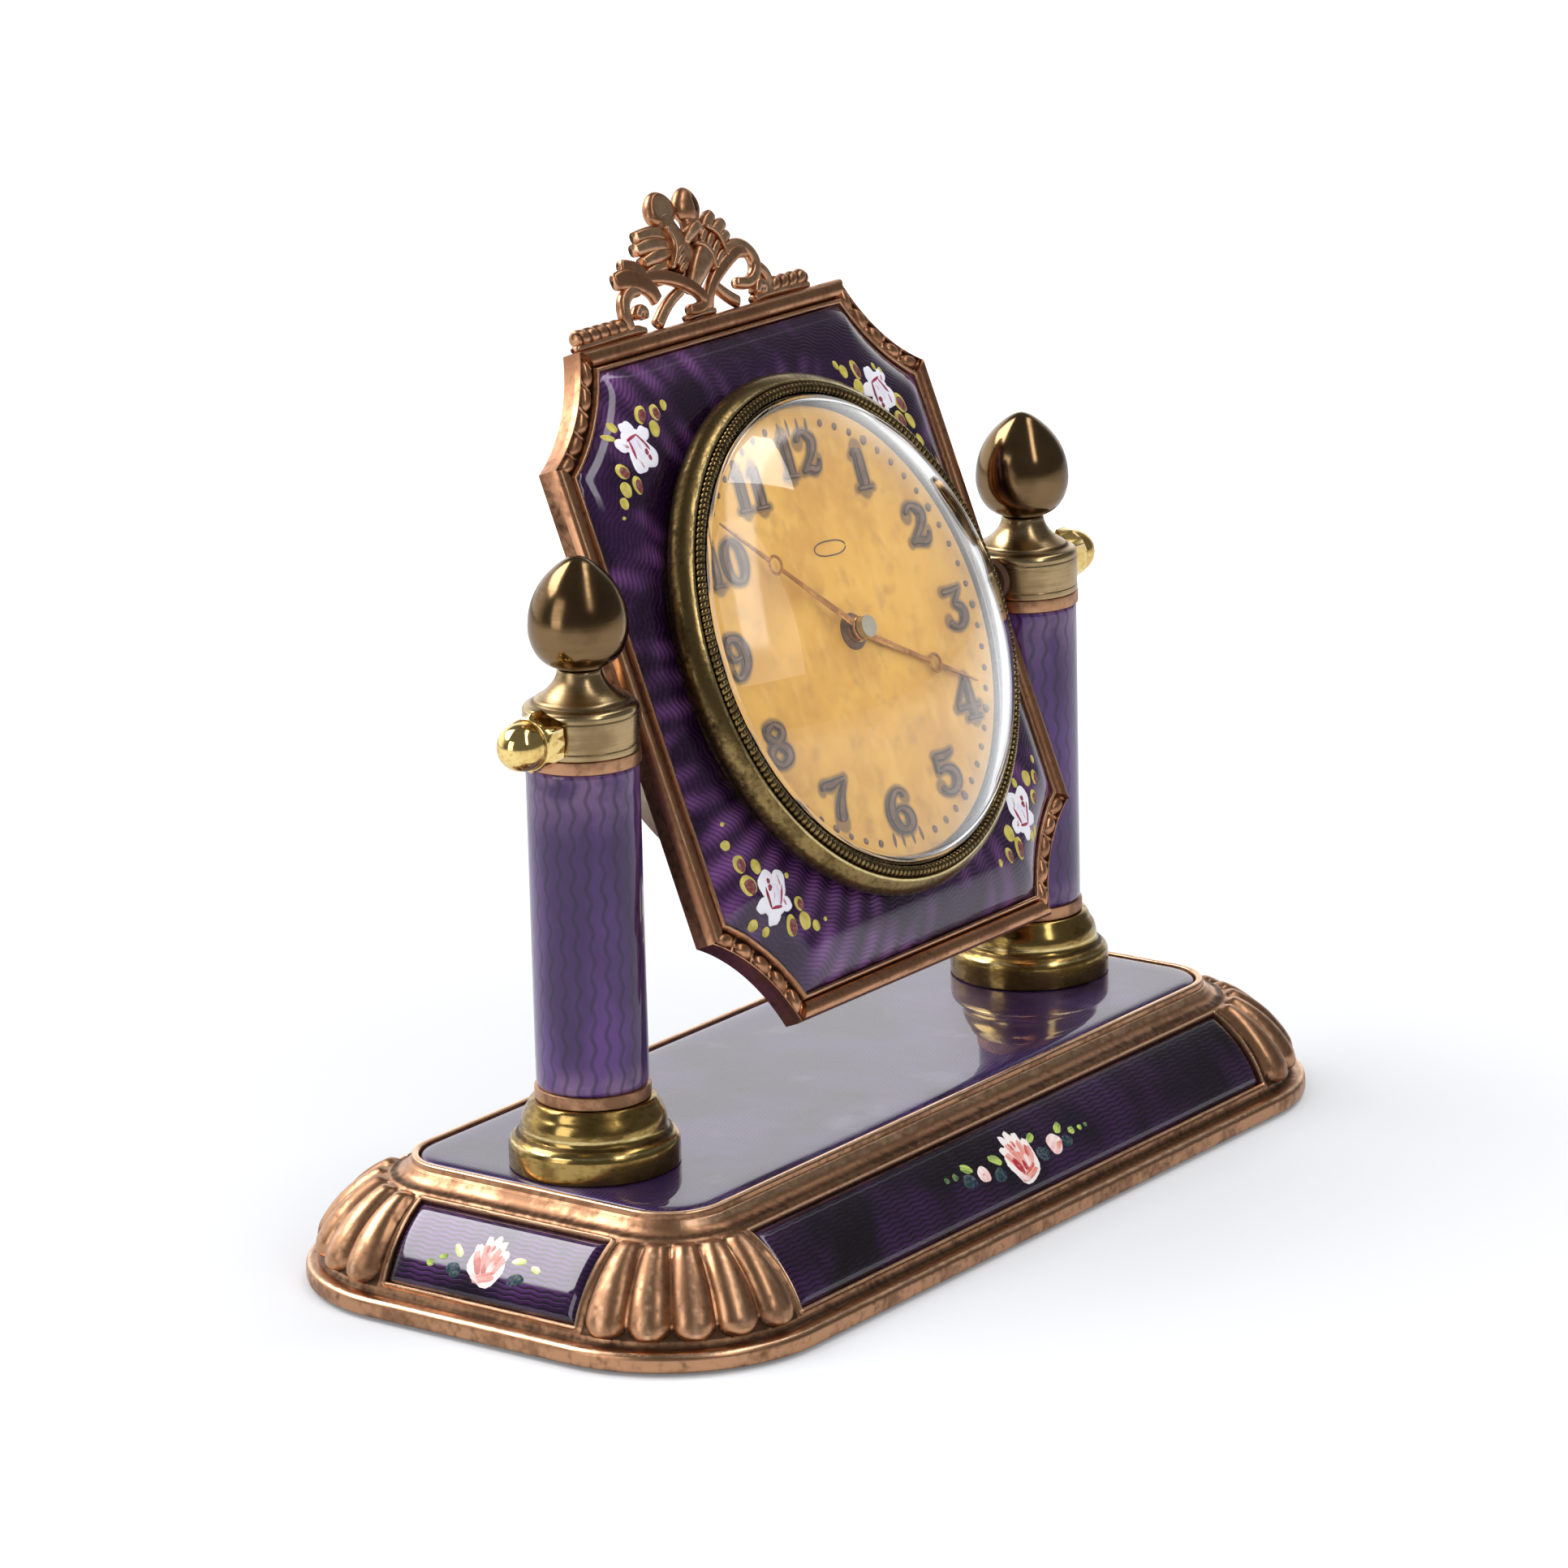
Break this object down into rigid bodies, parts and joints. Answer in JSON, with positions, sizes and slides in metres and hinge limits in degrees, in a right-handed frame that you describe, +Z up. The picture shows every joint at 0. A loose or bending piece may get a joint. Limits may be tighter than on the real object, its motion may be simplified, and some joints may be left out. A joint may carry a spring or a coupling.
{
  "type": "table clock",
  "caption": "Small enamelled table clock: an eight-sided head with a round domed dial and floral crest tilts between two turned posts on a stepped, rounded base.",
  "frame": {"origin": "on the table under the middle of the base", "axes": "+X to the right seen from the front, along the base and the tilt axis; +Y to the back; +Z up; the dial faces -Y"},
  "size_m": [0.124, 0.0616, 0.1075],
  "materials": {
    "copper": "aged satin copper",
    "brass": "aged satin",
    "gilt": "satin gilt",
    "rose_gold": "polished",
    "enamel": "glossy translucent violet enamel on an engraved ground",
    "steel": "satin",
    "felt": "felt",
    "glass": "clear polished",
    "leather": "waxed"
  },
  "bodies": {
    "base": {"base_frame": "copper", "base_top_enamel": "enamel", "enamel_front": "enamel", "enamel_back": "enamel", "enamel_left": "enamel", "enamel_right": "enamel", "base_cover": "steel", "base_felt": "felt", "cover_screws": "brass", "foot_left": "brass", "foot_right": "brass", "lower_ferrule_left": "copper", "lower_ferrule_right": "copper", "sleeve_left": "enamel", "sleeve_right": "enamel", "upper_ferrule_left": "copper", "upper_ferrule_right": "copper", "cap_left": "brass", "cap_right": "brass", "finial_left": "brass", "finial_right": "brass", "tie_rods": "steel", "tie_nuts": "steel", "tie_washers": "brass", "pivot_screws": "steel", "dome_nuts": "gilt", "friction_washers": "leather"},
    "head": {"plaque_frame": "copper", "crest": "copper", "plaque_enamel": "enamel", "back_plate": "copper", "retaining_ring": "brass", "bezel": "brass", "crystal": "glass", "dial": "gilt", "movement_case": "brass", "case_back": "brass", "front_plate": "brass", "rear_plate": "brass", "pillars": "brass"},
    "minute_hands": {"hand_arbor": "steel", "cannon_pinion": "steel", "minute_hand": "rose_gold", "setting_knob": "brass"},
    "hour_hands": {"hour_wheel": "brass", "hour_hand": "rose_gold"},
    "motion_wheel": {"minute_wheel": "brass"},
    "mainspring_barrel": {"barrel": "brass"},
    "winder": {"barrel_arbor": "steel", "winding_key": "brass"},
    "centre_train": {"centre_wheel": "brass"},
    "third_train": {"third_wheel": "brass"},
    "fourth_train": {"fourth_wheel": "brass"},
    "escapement": {"escape_wheel": "steel"},
    "lever": {"pallet_lever": "steel"},
    "balance": {"balance_wheel": "gilt"}
  },
  "joints": [
    {"name": "head_tilt", "type": "hinge", "parent": "base", "child": "head", "pos_m": [0, 0, 0.0598], "axis": [1, 0, 0], "range_deg": [-128, 170]},
    {"name": "hand_setting", "type": "hinge", "parent": "head", "child": "minute_hands", "pos_m": [0, -0.00609, 0.06218], "axis": [0, -0.9317, 0.3633], "continuous": true},
    {"name": "hour_turn", "type": "hinge", "parent": "head", "child": "hour_hands", "pos_m": [0, -0.00553, 0.06196], "axis": [0, -0.9317, 0.3633], "continuous": true},
    {"name": "motion_turn", "type": "hinge", "parent": "head", "child": "motion_wheel", "pos_m": [-0.00205, -0.00479, 0.05561], "axis": [0, -0.9317, 0.3633], "continuous": true},
    {"name": "barrel_turn", "type": "hinge", "parent": "head", "child": "mainspring_barrel", "pos_m": [-0.01015, 0.00114, 0.0554], "axis": [0, -0.9317, 0.3633], "continuous": true},
    {"name": "winding", "type": "hinge", "parent": "head", "child": "winder", "pos_m": [-0.01015, 0.01418, 0.05031], "axis": [0, -0.9317, 0.3633], "continuous": true},
    {"name": "fourth_turn", "type": "hinge", "parent": "head", "child": "fourth_train", "pos_m": [0.01089, 0.00738, 0.06315], "axis": [0, -0.9317, 0.3633], "continuous": true},
    {"name": "centre_turn", "type": "hinge", "parent": "head", "child": "centre_train", "pos_m": [0, -0.00004, 0.05981], "axis": [0, -0.9317, 0.3633], "continuous": true},
    {"name": "third_turn", "type": "hinge", "parent": "head", "child": "third_train", "pos_m": [0.00405, 0.00624, 0.06489], "axis": [0, -0.9317, 0.3633], "continuous": true},
    {"name": "escape_turn", "type": "hinge", "parent": "head", "child": "escapement", "pos_m": [0.01296, 0.00196, 0.05915], "axis": [0, -0.9317, 0.3633], "continuous": true},
    {"name": "lever_swing", "type": "hinge", "parent": "head", "child": "lever", "pos_m": [0.01386, 0.0001, 0.05438], "axis": [0, -0.9317, 0.3633], "range_deg": [-5, 5]},
    {"name": "balance_swing", "type": "hinge", "parent": "head", "child": "balance", "pos_m": [0.0055, 0.00193, 0.04778], "axis": [0, -0.9317, 0.3633], "range_deg": [-270, 270], "stiffness_Nm_per_rad": 0.0000027}
  ],
  "couplings": [
    {"joint": "hour_turn", "follows": "hand_setting", "ratio": 0.083333},
    {"joint": "motion_turn", "follows": "hand_setting", "ratio": -0.33333},
    {"joint": "centre_turn", "follows": "fourth_turn", "ratio": 0.016667},
    {"joint": "third_turn", "follows": "fourth_turn", "ratio": -0.13333},
    {"joint": "escape_turn", "follows": "fourth_turn", "ratio": -8},
    {"joint": "barrel_turn", "follows": "fourth_turn", "ratio": -0.0020833}
  ]
}
